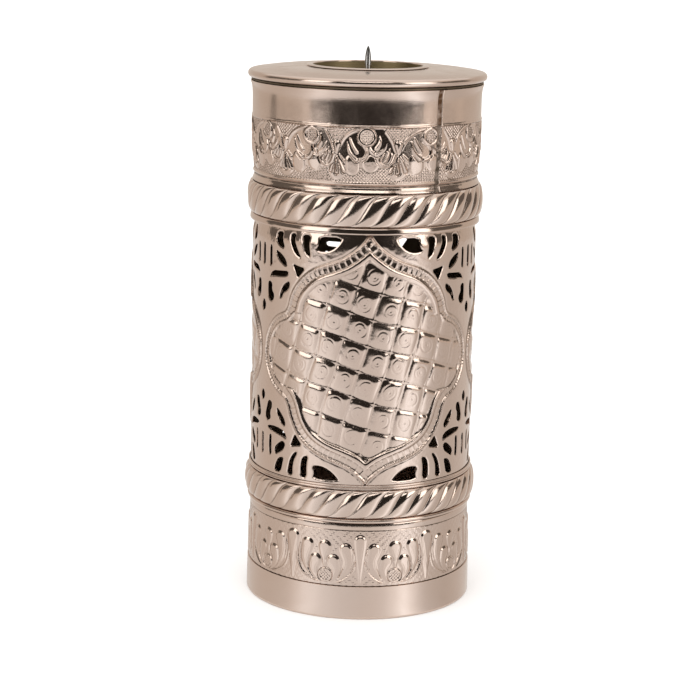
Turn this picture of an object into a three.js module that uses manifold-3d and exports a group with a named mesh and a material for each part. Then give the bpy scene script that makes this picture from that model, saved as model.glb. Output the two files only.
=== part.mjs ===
// Sanctuary lamp: a pierced drum of nickel-plated brass on a hollow foot, with a lift-off
// drip pan on its mouth and a drop-in candle cup with a steel pricket spike.
// Millimetres, +Z up, the axis of the drum is Z and the foot stands on Z = 0.
// Azimuth is counted in degrees from -Y towards +X.
import * as THREE from "three";
import { mergeVertices } from "three/addons/utils/BufferGeometryUtils.js";
import Module from "manifold-3d";

const wasm = await Module();
wasm.setup();

// Sheet, clearances and facets.
const SHEET = 1.2; // wall of every spun or rolled sheet piece
const GAP = 0.3; // clearance where two pieces meet
const SEGMENTS = 48; // facets round the axis
const FINE_SEGMENTS = 16; // facets round the spike and its washer

// Heights of the horizontal joints, from the ground up.
const Z_FOOT_TOP = 15.5;
const Z_LOWER_BAND_TOP = 44.8;
const Z_LOWER_ROPE = [47.2, 60.4];
const Z_TRIM_TOP = 62.9;
const Z_UPPER_COLLAR = [175.8, 179.1];
const Z_UPPER_ROPE = [179.1, 193.6];
const Z_UPPER_RELIEF_TOP = 222.8; // the plain flared rim starts here
const Z_MOUTH = 238.7;
const Z_PAN_SEAT = 239.9;
const Z_PAN_TOP = 245.3;
const Z_CUP_LIP = 246.1;
const Z_CUP_FLOOR = 223.5;
const Z_SPIKE_TIP = 254.5;

// Radii.
const BODY_R = 51.3; // pierced tube, outside
const FOOT_R = 52.6;
const FOOT_HEM_R = 46.5; // inner edge of the turned-in hem
const BAND_FLARE = 0.7; // how much wider an embossed band is away from the tube
const COLLAR_PROUD = 0.7; // how far the two collars stand out from their seat
const TRIM_PROUD = 0.6;
const ROPE_PROUD = 2.35;
const MOUTH_R = 53.0;
const PAN_R = 54.2;
const RIM_BEAD_R = 1.8;
const PAN_SHOULDER_R = 42; // the pan's top curves down outside this
const PAN_LAND_R = 28.5; // flat ring round the hole, under the lip of the cup
const PAN_HOLE_R = 26.0;
const SKIRT_DROP = 7.7; // how far the pan's locating ring reaches into the mouth
const CUP_R = 24.9; // inside
const CUP_WALL = 0.8;
const CUP_LIP_R = 27.7;
const SPIKE_R = 1.4;
const SPIKE_COLLAR_R = 4.5;
const SPIKE_COLLAR_HEIGHT = 2.0;
const STUD_R = 1.75;
const STUD_LENGTH = 7; // below the floor of the cup
const STUD_HOLE_R = 2.1;
const WASHER_R = 5;
const WASHER_THICKNESS = 0.8;
const NUT_HEIGHT = 2.8;
const NUT_CORNER_R = 4.05; // 7 mm across the flats

const BODY_INNER_R = BODY_R - SHEET;
const LAP_R = BODY_INNER_R - GAP; // spigots that fit inside the pierced tube
const LAP_LENGTH = 4.2;
const SEAT_R = BODY_R + GAP; // inside of the rings that wrap the pierced tube

// The drum is divided into three sectors, each with one lobed medallion.
const FRONT_AZIMUTH = 3;
const FRONT_HALF_SECTOR = 63.5;
const REAR_HALF_SECTOR = (360 - 2 * FRONT_HALF_SECTOR) / 4;
const SECTORS = [
  { centre: FRONT_AZIMUTH, half: FRONT_HALF_SECTOR },
  { centre: FRONT_AZIMUTH + FRONT_HALF_SECTOR + REAR_HALF_SECTOR, half: REAR_HALF_SECTOR },
  { centre: FRONT_AZIMUTH - FRONT_HALF_SECTOR - REAR_HALF_SECTOR, half: REAR_HALF_SECTOR },
];

// Openings of one half sector of full width, as outlines in millimetres: how far round from
// the middle of the medallion, then the height. Each is cut on both sides of the medallion.
const PAIRED_OPENINGS = [
  // upper fan: a leaf beside the tip, three blades under the collar, then the inner ring
  [[12.3, 173.9], [23, 173.9], [24.3, 168.2], [17.2, 168.3]],
  [[27.4, 174.1], [31.4, 174], [30.9, 170.2], [27.2, 164.7], [27.9, 170.5]],
  [[35.3, 174.1], [38, 173.8], [37.4, 169], [31.9, 163.9], [35.5, 170.5]],
  [[42.8, 174.1], [47, 173.6], [46.6, 169.8], [41.3, 167.3]],
  [[47.2, 165.6], [43.2, 164.1], [40.2, 159.3], [43.8, 160.7]],
  [[50.1, 167.3], [51.9, 167.3], [51.9, 158.6], [50.1, 158.6]],
  [[51.5, 153.4], [48.9, 156.1], [39.1, 156.9], [39.7, 155], [44, 154.3]],
  [[35.9, 160.2], [30.7, 159.2], [33.6, 155.3]],
  [[38.6, 152.4], [39, 149], [43.7, 144.6], [42.6, 150.4]],
  [[52.5, 150.8], [50, 149.2], [48.8, 143.5], [50.2, 141.9], [53.8, 145.5]],
  // lower fan, in the same order
  [[11.9, 64.2], [24.3, 64.4], [24.3, 70], [18.5, 69.8]],
  [[27.5, 64.4], [30.6, 64.4], [30.7, 69.5], [26.9, 74.3]],
  [[35.1, 64.2], [38.1, 64.9], [36.8, 71.5], [32.7, 75], [35, 69]],
  [[42.4, 64.5], [46.7, 64.5], [45.8, 68.5], [40.7, 71.2]],
  [[46.2, 72.2], [46.2, 75.8], [41, 78.8], [40.5, 75.4]],
  [[49.2, 80.3], [51, 80.3], [51, 71.3], [49.2, 71.3]],
  [[52.3, 84.6], [45.6, 84.5], [39, 80.6], [46, 82]],
  [[35.9, 77.9], [30.9, 78.8], [34, 82.9]],
  [[45.4, 93.6], [41.2, 90.5], [40.2, 86.2], [44.2, 89.2]],
  [[52.3, 95.9], [49.4, 94], [50.3, 87.7], [54.2, 88.6]],
];
const FULL_HALF_WIDTH = BODY_R * THREE.MathUtils.degToRad(FRONT_HALF_SECTOR);

// Openings on the line between two sectors, centred on it: a slit and a lozenge in each fan.
const CENTRE_OPENINGS = [
  [[-0.95, 158.2], [0.95, 158.2], [0.95, 167.6], [-0.95, 167.6]],
  [[0, 136.6], [1.9, 139.4], [0, 142.3], [-1.9, 139.4]],
  [[-0.95, 70.7], [0.95, 70.7], [0.95, 79.9], [-0.95, 79.9]],
  [[0, 95.1], [1.9, 97.8], [0, 100.5], [-1.9, 97.8]],
];

const NICKEL = { color: 0xc8b9ac, roughness: 0.28, metalness: 1 };
const DULL_BRASS = { color: 0x8a7a50, roughness: 0.5, metalness: 1 };
const STEEL = { color: 0xc9cbd0, roughness: 0.2, metalness: 1 };

const lamp = new THREE.Group();

function addPiece(name, geometry, finish) {
  const piece = new THREE.Mesh(geometry, new THREE.MeshStandardMaterial(finish));
  piece.name = name;
  lamp.add(piece);
  return piece;
}

// A solid of revolution about Z. The profile lists [radius, height] with the material on its
// left, and closes on itself unless it starts and ends on the axis.
function turned(profile, segments = SEGMENTS) {
  const first = profile[0];
  const last = profile[profile.length - 1];
  const onAxis = first[0] === 0 && last[0] === 0;
  const closed = onAxis ? profile : [...profile, first];
  const points = closed.map(([radius, height]) => new THREE.Vector2(radius, height));
  return new THREE.LatheGeometry(points, segments).rotateX(Math.PI / 2);
}

function solidFrom(geometry) {
  const bare = geometry.clone();
  bare.deleteAttribute("normal");
  bare.deleteAttribute("uv");
  const merged = mergeVertices(bare, 1e-3);
  return new wasm.Manifold(
    new wasm.Mesh({
      numProp: 3,
      vertProperties: merged.attributes.position.array,
      triVerts: new Uint32Array(merged.index.array),
    }),
  );
}

function geometryFrom(solid) {
  const mesh = solid.getMesh();
  const geometry = new THREE.BufferGeometry();
  geometry.setAttribute("position", new THREE.BufferAttribute(mesh.vertProperties, 3));
  geometry.setIndex(new THREE.BufferAttribute(mesh.triVerts, 1));
  geometry.computeVertexNormals();
  return geometry;
}

// A straight prism through the tube wall, standing on an outline in the plane that touches
// the tube at the given azimuth.
function wallCutter(outline, azimuth) {
  const reach = 3 * SHEET;
  const shape = new THREE.Shape(outline.map(([across, up]) => new THREE.Vector2(across, up)));
  const prism = new THREE.ExtrudeGeometry(shape, { depth: 2 * reach, bevelEnabled: false });
  const angle = THREE.MathUtils.degToRad(azimuth);
  const tangent = new THREE.Vector3(Math.cos(angle), Math.sin(angle), 0);
  const up = new THREE.Vector3(0, 0, 1);
  const outward = new THREE.Vector3(Math.sin(angle), -Math.cos(angle), 0);
  const place = new THREE.Matrix4().makeBasis(tangent, up, outward);
  place.setPosition(outward.clone().multiplyScalar(BODY_R - reach));
  return solidFrom(prism.applyMatrix4(place));
}

function sectorCutters({ centre, half }) {
  const squeeze = half / FRONT_HALF_SECTOR;
  const cutters = [];
  for (const outline of PAIRED_OPENINGS) {
    const middle = outline.reduce((sum, [across]) => sum + across, 0) / outline.length;
    for (const side of [-1, 1]) {
      const local = outline.map(([across, up]) => [side * squeeze * (across - middle), up]);
      cutters.push(wallCutter(local, centre + (side * half * middle) / FULL_HALF_WIDTH));
    }
  }
  for (const outline of CENTRE_OPENINGS) cutters.push(wallCutter(outline, centre + half));
  return cutters;
}

// Outer outline of a rope ring: a half-round swelling from the seat radius and back.
function ropeProfile([bottom, top]) {
  const steps = 6;
  const profile = [];
  for (let i = 0; i <= steps; i += 1) {
    const along = i / steps;
    const height = bottom + GAP / 2 + along * (top - bottom - GAP);
    profile.push([SEAT_R + ROPE_PROUD * Math.sin(Math.PI * along) ** 0.7, height]);
  }
  return profile;
}

// A flat wire ring round the tube.
function wireProfile([bottom, top], proud) {
  const low = bottom + GAP / 2;
  const high = top - GAP / 2;
  return [
    [SEAT_R, low],
    [SEAT_R + proud, low],
    [SEAT_R + proud, high],
    [SEAT_R, high],
  ];
}

function addFoot() {
  const top = Z_FOOT_TOP - GAP / 2;
  const lean = 0.4; // the foot draws in by this much towards its top
  const foot = [
    [FOOT_HEM_R, 0],
    [FOOT_R - 0.5, 0],
    [FOOT_R, 0.6],
    [FOOT_R - lean, top],
    [FOOT_R - lean - SHEET, top],
    [FOOT_R - SHEET, SHEET],
    [FOOT_HEM_R, SHEET],
  ];
  addPiece("foot_ring", turned(foot), NICKEL);

  const bottom = Z_FOOT_TOP + GAP / 2;
  const shoulder = Z_LOWER_BAND_TOP - GAP / 2;
  const lapR = FOOT_R - lean - SHEET - GAP;
  const bandLow = BODY_R + BAND_FLARE;
  const band = [
    [lapR, bottom - LAP_LENGTH],
    [lapR, bottom],
    [bandLow, bottom],
    [BODY_R, shoulder],
    [LAP_R, shoulder],
    [LAP_R, shoulder + LAP_LENGTH],
    [LAP_R - SHEET, shoulder + LAP_LENGTH],
    [LAP_R - SHEET, shoulder - SHEET],
    [BODY_R - SHEET, shoulder - SHEET],
    [bandLow - SHEET, bottom + SHEET],
    [lapR - SHEET, bottom + SHEET],
    [lapR - SHEET, bottom - LAP_LENGTH],
  ];
  addPiece("lower_embossed_band", turned(band), NICKEL);
}

function addPiercedShell() {
  const bottom = Z_LOWER_BAND_TOP + GAP / 2;
  const top = Z_UPPER_ROPE[1] - GAP / 2;
  const tube = [
    [BODY_INNER_R, bottom],
    [BODY_R, bottom],
    [BODY_R, top],
    [BODY_INNER_R, top],
  ];
  const cutters = SECTORS.flatMap(sectorCutters);
  const pierced = solidFrom(turned(tube)).subtract(wasm.Manifold.union(cutters));
  addPiece("pierced_shell", geometryFrom(pierced), NICKEL);
}

function addWrappedRings() {
  const rings = [
    ["lower_collar", wireProfile([Z_LOWER_BAND_TOP, Z_LOWER_ROPE[0]], COLLAR_PROUD)],
    ["lower_rope_ring", ropeProfile(Z_LOWER_ROPE)],
    ["lower_trim_ring", wireProfile([Z_LOWER_ROPE[1], Z_TRIM_TOP], TRIM_PROUD)],
    ["upper_collar", wireProfile(Z_UPPER_COLLAR, COLLAR_PROUD)],
    ["upper_rope_ring", ropeProfile(Z_UPPER_ROPE)],
  ];
  for (const [name, profile] of rings) addPiece(name, turned(profile), NICKEL);
}

function addUpperBand() {
  const bottom = Z_UPPER_ROPE[1] + GAP / 2;
  const outer = [
    [BODY_R, bottom],
    [BODY_R + 0.7 * BAND_FLARE, (bottom + Z_UPPER_RELIEF_TOP) / 2],
    [BODY_R + BAND_FLARE, Z_UPPER_RELIEF_TOP],
    [MOUTH_R, Z_MOUTH - 0.8],
  ];
  const inner = outer.slice(1).map(([radius, height]) => [radius - SHEET, height]);
  const band = [
    [LAP_R, bottom - LAP_LENGTH],
    [LAP_R, bottom],
    ...outer,
    [MOUTH_R - 0.5, Z_MOUTH],
    [MOUTH_R - SHEET, Z_MOUTH],
    ...inner.reverse(),
    [BODY_R - SHEET, bottom + SHEET],
    [LAP_R - SHEET, bottom + SHEET],
    [LAP_R - SHEET, bottom - LAP_LENGTH],
  ];
  addPiece("upper_embossed_band", turned(band), NICKEL);
}

function addDripPan() {
  const flangeTop = Z_PAN_SEAT - GAP;
  const flangeLow = Z_MOUTH + GAP;
  const skirtR = MOUTH_R - SHEET - 1.2;
  const thickness = 0.8;
  const flangeR = MOUTH_R - 0.4;
  const ring = [
    [skirtR - thickness, Z_MOUTH - SKIRT_DROP],
    [skirtR, Z_MOUTH - SKIRT_DROP],
    [skirtR, flangeLow],
    [flangeR, flangeLow],
    [flangeR, flangeTop],
    [skirtR - thickness, flangeTop],
  ];
  addPiece("locating_ring", turned(ring), NICKEL);

  const beadR = PAN_R - RIM_BEAD_R;
  const beadZ = Z_PAN_SEAT + RIM_BEAD_R;
  const bead = [];
  const steps = 6;
  for (let i = 0; i <= steps; i += 1) {
    const turn = -Math.PI / 2 + (Math.PI * i) / steps;
    bead.push([beadR + RIM_BEAD_R * Math.cos(turn), beadZ + RIM_BEAD_R * Math.sin(turn)]);
  }
  const beadTop = Z_PAN_SEAT + 2 * RIM_BEAD_R;
  const rise = (share) => beadTop + share * (Z_PAN_TOP - beadTop);
  const dome = [
    [PAN_SHOULDER_R, rise(0.65)],
    [PAN_LAND_R, Z_PAN_TOP],
    [PAN_HOLE_R, Z_PAN_TOP],
  ];
  const under = dome.map(([radius, height]) => [radius, height - SHEET]);
  const inset = beadR - 2.2; // where the underside meets the bead
  const plate = [
    [inset, Z_PAN_SEAT],
    ...bead,
    ...dome,
    ...under.reverse(),
    [inset, beadTop - SHEET],
  ];
  addPiece("drip_pan_plate", turned(plate), NICKEL);
}

function addCandleCup() {
  const outside = CUP_R + CUP_WALL;
  const lipLow = Z_PAN_TOP + GAP;
  const cup = [
    [STUD_HOLE_R, Z_CUP_FLOOR - SHEET],
    [outside - 2.4, Z_CUP_FLOOR - SHEET],
    [outside, Z_CUP_FLOOR + 1.2],
    [outside, lipLow],
    [CUP_LIP_R, lipLow],
    [CUP_LIP_R, Z_CUP_LIP],
    [CUP_R, Z_CUP_LIP],
    [CUP_R, Z_CUP_FLOOR + 2],
    [CUP_R - 2, Z_CUP_FLOOR],
    [STUD_HOLE_R, Z_CUP_FLOOR],
  ];
  addPiece("candle_cup", turned(cup), DULL_BRASS);

}

function addSpike() {
  const collarLow = Z_CUP_FLOOR + GAP;
  const collarTop = collarLow + SPIKE_COLLAR_HEIGHT;
  const point = 6; // length of the tapered tip
  const spike = [
    [0, Z_CUP_FLOOR - STUD_LENGTH],
    [STUD_R, Z_CUP_FLOOR - STUD_LENGTH],
    [STUD_R, collarLow],
    [SPIKE_COLLAR_R, collarLow],
    [SPIKE_COLLAR_R, collarTop - 0.8],
    [SPIKE_COLLAR_R - 1.4, collarTop],
    [SPIKE_R, collarTop],
    [SPIKE_R, Z_SPIKE_TIP - point],
    [SPIKE_R * 0.84, Z_SPIKE_TIP - point * 0.62],
    [SPIKE_R * 0.5, Z_SPIKE_TIP - point * 0.28],
    [0, Z_SPIKE_TIP],
  ];
  addPiece("pricket_spike", turned(spike, FINE_SEGMENTS), STEEL);

  const washerTop = Z_CUP_FLOOR - SHEET - GAP;
  const washerLow = washerTop - WASHER_THICKNESS;
  const washer = [
    [STUD_HOLE_R, washerLow],
    [WASHER_R, washerLow],
    [WASHER_R, washerTop],
    [STUD_HOLE_R, washerTop],
  ];
  addPiece("spike_washer", turned(washer, FINE_SEGMENTS), STEEL);

  const corners = Array.from({ length: 6 }, (_, i) => {
    const turn = (Math.PI * i) / 3;
    return new THREE.Vector2(NUT_CORNER_R * Math.cos(turn), NUT_CORNER_R * Math.sin(turn));
  });
  const hexagon = new THREE.Shape(corners);
  const bore = new THREE.Path();
  bore.absarc(0, 0, STUD_HOLE_R, 0, 2 * Math.PI, true);
  hexagon.holes.push(bore);
  const nut = new THREE.ExtrudeGeometry(hexagon, {
    depth: NUT_HEIGHT,
    bevelEnabled: false,
    curveSegments: FINE_SEGMENTS,
  });
  const nutPiece = addPiece("spike_nut", nut, STEEL);
  nutPiece.position.z = washerLow - GAP - NUT_HEIGHT;
}

addFoot();
addPiercedShell();
addWrappedRings();
addUpperBand();
addDripPan();
addCandleCup();
addSpike();

export default lamp;
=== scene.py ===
"""Sanctuary lamp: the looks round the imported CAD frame. Helper lengths are millimetres; meshes are
made in metres. Azimuth is counted in degrees from -Y towards +X, as in the CAD."""
import math

import bpy
import numpy as np
from mathutils import Euler, Matrix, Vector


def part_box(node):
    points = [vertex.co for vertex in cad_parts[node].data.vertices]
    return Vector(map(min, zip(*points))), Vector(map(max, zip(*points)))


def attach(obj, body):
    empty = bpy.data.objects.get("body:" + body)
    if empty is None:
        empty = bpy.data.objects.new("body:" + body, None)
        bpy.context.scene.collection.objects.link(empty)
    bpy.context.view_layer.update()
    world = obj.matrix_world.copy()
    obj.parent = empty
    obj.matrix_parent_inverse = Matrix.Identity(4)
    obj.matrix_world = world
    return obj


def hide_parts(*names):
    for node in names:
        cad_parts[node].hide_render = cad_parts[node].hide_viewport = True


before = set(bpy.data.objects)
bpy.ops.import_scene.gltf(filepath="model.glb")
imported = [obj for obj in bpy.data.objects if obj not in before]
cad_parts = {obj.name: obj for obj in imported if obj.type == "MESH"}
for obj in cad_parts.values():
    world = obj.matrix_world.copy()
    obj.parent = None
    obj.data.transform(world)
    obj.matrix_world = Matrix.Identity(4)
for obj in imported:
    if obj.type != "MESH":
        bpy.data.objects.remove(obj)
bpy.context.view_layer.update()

MM = 0.001


def node_reach(node):
    """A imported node's outer radius, bottom and top, in millimetres."""
    low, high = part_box(node)
    return [round(value / MM, 2) for value in (high.x, low.z, high.z)]


def add_object(name, data):
    made = bpy.data.objects.new(name, data)
    bpy.context.scene.collection.objects.link(made)
    return made


# -------------------- camera

CAMERA_DISTANCE = 946.0
CAMERA_HEIGHT = 316.7
CAMERA_PITCH = 12.12
CAMERA_YAW = 0.335
CAMERA_ROLL = 1.15
FOCAL_PIXELS = 2075.4
IMAGE_SIDE = 700
SENSOR = 36.0


def make_camera():
    data = bpy.data.cameras.new("camera")
    data.sensor_width = SENSOR
    data.lens = SENSOR * FOCAL_PIXELS / IMAGE_SIDE
    data.clip_start = 0.02
    data.clip_end = 200
    camera = add_object("camera", data)
    camera.location = (0, -CAMERA_DISTANCE * MM, CAMERA_HEIGHT * MM)
    aim = Euler((math.radians(90 - CAMERA_PITCH), 0.0, math.radians(CAMERA_YAW))).to_matrix()
    roll = Matrix.Rotation(math.radians(CAMERA_ROLL), 3, "Z")
    camera.rotation_mode = "QUATERNION"
    camera.rotation_quaternion = (aim @ roll).to_quaternion()
    bpy.context.scene.camera = camera


make_camera()


# -------------------- materials

def node_tree(name):
    material = bpy.data.materials.new(name)
    material.use_nodes = True
    tree = material.node_tree
    shader = tree.nodes["Principled BSDF"]
    return material, tree, shader


def add_node(tree, kind, feeds=(), **settings):
    """A shader node with its settings; feeds pairs an input with the output that goes into it."""
    node = tree.nodes.new(kind)
    for key, value in settings.items():
        if key in node.inputs:
            node.inputs[key].default_value = value
        else:
            setattr(node, key, value)
    for socket, source in feeds:
        tree.links.new(source, node.inputs[socket])
    return node


def stretched_noise(tree, coordinates, scale, squash, detail=3.0):
    """Noise drawn out along the turning direction where squash is small in X."""
    mapping = add_node(tree, "ShaderNodeMapping", [("Vector", coordinates)], Scale=squash)
    feeds = [("Vector", mapping.outputs["Vector"])]
    return add_node(tree, "ShaderNodeTexNoise", feeds, Scale=scale, Detail=detail).outputs["Fac"]


def remap(tree, value, low, high, out_low, out_high):
    ranged = add_node(tree, "ShaderNodeMapRange", [(0, value)])
    for index, number in enumerate((low, high, out_low, out_high), start=1):
        ranged.inputs[index].default_value = number
    return ranged.outputs[0]


def times_plus(tree, value, factor, addition):
    """One value times a number, plus another value."""
    sums = add_node(tree, "ShaderNodeMath", [(0, value), (2, addition)], operation="MULTIPLY_ADD")
    sums.inputs[1].default_value = factor
    return sums.outputs[0]


def mix_colour(tree, factor, first, second):
    mix = add_node(tree, "ShaderNodeMix", [(0, factor)], data_type="RGBA")
    for socket, colour in ((mix.inputs[6], first), (mix.inputs[7], second)):
        if isinstance(colour, tuple):
            socket.default_value = (*colour, 1.0)
        else:
            tree.links.new(colour, socket)
    return mix.outputs[2]


# Scales of the noises: per metre of the object, and for the turned lines per wrap unit.
CLOUDS, SMUDGES, DENTS, SPECKLES, GRAIN = 38.0, 90.0, 210.0, 420.0, 1500.0
TURNED_LINES = 4.0
EVEN = (1, 1, 1)
DENT_DEPTH, GRAIN_DEPTH = 0.0001, 0.00005
CLOUDINESS, GRAIN_SHARE, DIRT_ROUGHNESS = 0.5, 0.6, 0.3


def plated_metal(name, colour, warm, roughness, brush=0.1, dents=0.4, cavity=None):
    """Nickel plate over brass: cloudy tone, wipe marks, fine turning lines, shallow dents, and
    dark dirt where the mesh's cavity attribute says so."""
    material, tree, shader = node_tree(name)
    shader.inputs["Metallic"].default_value = 1.0
    wrap = add_node(tree, "ShaderNodeUVMap", uv_map="wrap").outputs["UV"]
    place = add_node(tree, "ShaderNodeTexCoord").outputs["Object"]

    clouds = stretched_noise(tree, place, CLOUDS, EVEN, 4.0)
    tone = mix_colour(tree, remap(tree, clouds, 0.35, 0.7, 0, CLOUDINESS), colour, warm)
    smudges = stretched_noise(tree, place, SMUDGES, (1, 1, 0.5), 5.0)
    rough = remap(tree, smudges, 0.3, 0.75, roughness * 0.7, roughness * 1.5)

    uneven = [("Height", stretched_noise(tree, place, DENTS, EVEN, 2.0))]
    dented = add_node(tree, "ShaderNodeBump", uneven, Strength=dents, Distance=DENT_DEPTH)
    lines = stretched_noise(tree, wrap, TURNED_LINES, (0.3, 11.0, 1.0))
    grain = stretched_noise(tree, place, GRAIN, EVEN)
    scratches = times_plus(tree, grain, GRAIN_SHARE, lines)
    feeds = [("Height", scratches), ("Normal", dented.outputs["Normal"])]
    bump = add_node(tree, "ShaderNodeBump", feeds, Strength=brush, Distance=GRAIN_DEPTH)
    tree.links.new(bump.outputs["Normal"], shader.inputs["Normal"])

    if cavity:
        dirt = add_node(tree, "ShaderNodeAttribute", attribute_name="cavity").outputs["Fac"]
        speckle = stretched_noise(tree, place, SPECKLES, EVEN)
        feeds = [(0, dirt), (1, remap(tree, speckle, 0.3, 0.62, 0.35, 1.0))]
        broken = add_node(tree, "ShaderNodeMath", feeds, operation="MULTIPLY").outputs[0]
        tone = mix_colour(tree, broken, tone, cavity)
        rough = times_plus(tree, broken, DIRT_ROUGHNESS, rough)
    tree.links.new(tone, shader.inputs["Base Color"])
    tree.links.new(rough, shader.inputs["Roughness"])
    return material


NICKEL = (0.61, 0.49, 0.42)
NICKEL_WARM = (0.56, 0.43, 0.355)
DIRT = (0.10, 0.075, 0.055)
SOLDER = (0.12, 0.062, 0.032)
OLIVE = (0.30, 0.235, 0.13)
OLIVE_DARK = (0.25, 0.19, 0.10)
RAW = (0.20, 0.15, 0.10)
RAW_DARK = (0.12, 0.09, 0.06)
GREY = (0.42, 0.41, 0.4)
GREY_DARK = (0.33, 0.32, 0.31)

PLATED = plated_metal("plated_satin", NICKEL, NICKEL_WARM, 0.19, brush=0.22, cavity=SOLDER)
RELIEF = plated_metal("plated_relief", NICKEL, NICKEL_WARM, 0.13, brush=0.16, dents=0.65, cavity=DIRT)
POLISHED = plated_metal("plated_polished", NICKEL, NICKEL_WARM, 0.1, brush=0.06, dents=0.15)
PAN_PLATE = plated_metal("plated_pan", NICKEL, NICKEL_WARM, 0.17, brush=0.12, dents=0.2)
INSIDE = plated_metal("unplated_inside", RAW, RAW_DARK, 0.6)
CUP_BRASS = plated_metal("cup_brass", OLIVE, OLIVE_DARK, 0.5, brush=0.3)
STEEL = plated_metal("spike_steel", GREY, GREY_DARK, 0.18, brush=0.1)

SPIKE_TIP = node_reach("pricket_spike")[2]
SOOT = (0.02, 0.018, 0.015)
SOOT_FROM, SOOT_FULL = (SPIKE_TIP - 6) * MM, (SPIKE_TIP - 1.3) * MM


def sooty_tip(material):
    """Darkens the metal towards the tip of the spike."""
    tree = material.node_tree
    shader = tree.nodes["Principled BSDF"]
    bare = shader.inputs["Base Color"].links[0].from_socket
    place = add_node(tree, "ShaderNodeTexCoord").outputs["Object"]
    split = add_node(tree, "ShaderNodeSeparateXYZ", [(0, place)])
    soot = remap(tree, split.outputs["Z"], SOOT_FROM, SOOT_FULL, 0, 0.9)
    tree.links.new(mix_colour(tree, soot, bare, SOOT), shader.inputs["Base Color"])


sooty_tip(STEEL)


# -------------------- mesh making

def azimuths(count):
    return np.arange(count) * (2 * math.pi / count)


def round_axis(radii, heights, angle):
    """Points at azimuth angle, rows by columns; heights spread over the shape of radii."""
    heights = np.broadcast_to(heights, radii.shape)
    return np.stack([radii * np.sin(angle), -radii * np.cos(angle), heights], -1)


UV_UNIT = 10
SHARP, ROPE_SHARP = 38, 60


def finish_piece(piece, material, body, node, sharp_degrees=SHARP):
    for entry in material if isinstance(material, (list, tuple)) else [material]:
        piece.data.materials.append(entry)
    piece.data.shade_smooth()
    piece.data.set_sharp_from_angle(angle=math.radians(sharp_degrees))
    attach(piece, body)
    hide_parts(node)


def mesh_object(name, points, quads, uv, values):
    """An object from (n, 3) points in millimetres and (m, 4) quads, with a UV map called wrap
    and a float per point called cavity, which is nought where values is None."""
    mesh = bpy.data.meshes.new(name)
    mesh.vertices.add(len(points))
    mesh.vertices.foreach_set("co", (points * MM).astype(np.float32).ravel())
    mesh.loops.add(quads.size)
    mesh.loops.foreach_set("vertex_index", quads.astype(np.int32).ravel())
    mesh.polygons.add(len(quads))
    mesh.polygons.foreach_set("loop_start", np.arange(0, quads.size, 4, dtype=np.int32))
    mesh.polygons.foreach_set("loop_total", np.full(len(quads), 4, dtype=np.int32))
    layer = mesh.uv_layers.new(name="wrap")
    layer.data.foreach_set("uv", uv.astype(np.float32).ravel())
    mesh.update(calc_edges=True)
    attribute = mesh.attributes.new("cavity", "FLOAT", "POINT")
    if values is not None:
        attribute.data.foreach_set("value", values.astype(np.float32).ravel())
    return add_object(name, mesh)


def ring_mesh(name, radii, heights, cavity=None):
    """A closed ring. Radii are rows by columns, and heights the same or one a row; the rows go
    round the section with the metal on their left, and the columns once round the axis."""
    rows, columns = radii.shape
    points = round_axis(radii, heights, azimuths(columns)).reshape(-1, 3)
    row, column = np.meshgrid(np.arange(rows), np.arange(columns), indexing="ij")
    next_row = (row + 1) % rows
    next_column = (column + 1) % columns
    corners = ((row, column), (row, next_column), (next_row, next_column), (next_row, column))
    quads = np.stack([r * columns + c for r, c in corners], -1).reshape(-1, 4)
    mean_r = radii.mean()
    step = np.hypot(np.diff(radii[:, 0], append=radii[0, 0]), np.diff(heights[:, 0], append=0))
    along = np.concatenate([[0], np.cumsum(step)]) / UV_UNIT
    around = np.arange(columns + 1) * (2 * math.pi / columns) * mean_r / UV_UNIT
    u = np.stack([around[column], around[column + 1], around[column + 1], around[column]], -1)
    v = np.stack([along[row], along[row], along[row + 1], along[row + 1]], -1)
    uv = np.stack([u, v], -1).reshape(-1, 2)
    return mesh_object(name, points, quads, uv, cavity)


def turned_ring(name, profile, columns=256):
    """A plain turned ring from a list of (radius, height) with the metal on its left."""
    profile = np.array(profile, float)
    return ring_mesh(name, np.repeat(profile[:, :1], columns, 1), profile[:, 1:])


def turned_solid(name, profile, columns=64):
    """A turned solid whose profile starts and ends on the axis; its end rows close in a fan."""
    profile = np.array(profile, float)
    inner = profile[1:-1]
    radii = np.repeat(inner[:, :1], columns, 1)
    ring = round_axis(radii, inner[:, 1:], azimuths(columns)).reshape(-1, 3)
    points = np.concatenate([ring, [[0, 0, profile[0, 1]], [0, 0, profile[-1, 1]]]])
    faces = []
    rows = len(inner)
    low, high = rows * columns, rows * columns + 1
    for k in range(columns):
        n = (k + 1) % columns
        faces.append((low, n, k))
        faces.append((high, (rows - 1) * columns + k, (rows - 1) * columns + n))
        for r in range(rows - 1):
            a, b = r * columns, (r + 1) * columns
            faces.append((a + k, a + n, b + n, b + k))
    mesh = bpy.data.meshes.new(name)
    mesh.from_pydata((points * MM).tolist(), [], faces)
    layer = mesh.uv_layers.new(name="wrap")
    for loop in mesh.loops:
        x, y, z = points[loop.vertex_index]
        layer.data[loop.index].uv = (math.atan2(x, -y) * 0.3, z / UV_UNIT)
    mesh.attributes.new("cavity", "FLOAT", "POINT")
    mesh.update()
    return add_object(name, mesh)


def smoothstep(low, high, x):
    t = np.clip((x - low) / (high - low), 0, 1)
    return t * t * (3 - 2 * t)


def fade(under, over, cover):
    return under * (1 - cover) + over * cover


def bell(distance, half):
    return np.exp(-((distance / half) ** 2))


def dome(distance, half):
    return np.sqrt(np.clip(1 - (distance / half) ** 2, 0, 1))


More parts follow.
